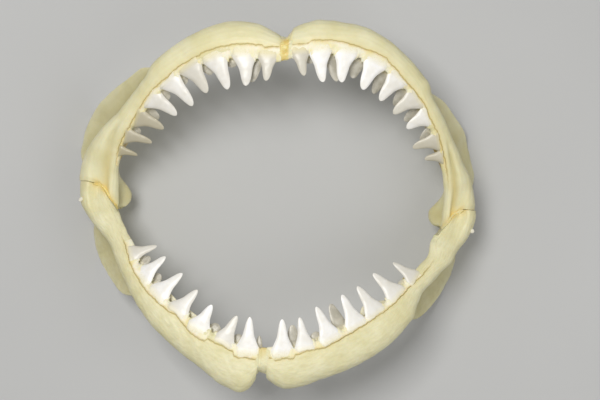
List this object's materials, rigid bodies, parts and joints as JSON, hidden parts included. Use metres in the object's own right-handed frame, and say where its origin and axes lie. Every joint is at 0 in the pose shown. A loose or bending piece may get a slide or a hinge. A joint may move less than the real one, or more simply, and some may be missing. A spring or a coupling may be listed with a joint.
{
  "type": "shark jaw",
  "caption": "Jaws of a great white shark, dried and spread wide open: upper and lower arches of cartilage with rows of serrated teeth, lying on their back.",
  "frame": {"origin": "on the surface the jaws lie on, below the middle of the whole; the middle of the mouth is 2 mm to +X and 10.5 mm to +Y of it", "axes": "+Z the way the mouth gapes, +Y towards the upper jaw, +X towards the shark's own left"},
  "size_m": [0.5737, 0.5059, 0.2066],
  "materials": {
    "dried_cartilage": "satin",
    "tooth_crown": "gloss",
    "tooth_root": "satin",
    "dried_gum": "satin",
    "dried_ligament": "satin",
    "tie_knot": "matte"
  },
  "bodies": {
    "root": {"upper_jaw_right": "dried_cartilage", "upper_jaw_left": "dried_cartilage", "lower_jaw_right": "dried_cartilage", "lower_jaw_left": "dried_cartilage", "upper_symphysis": "dried_ligament", "lower_symphysis": "dried_ligament", "joint_tie_right": "tie_knot", "joint_tie_left": "tie_knot"}
  },
  "joints": []
}
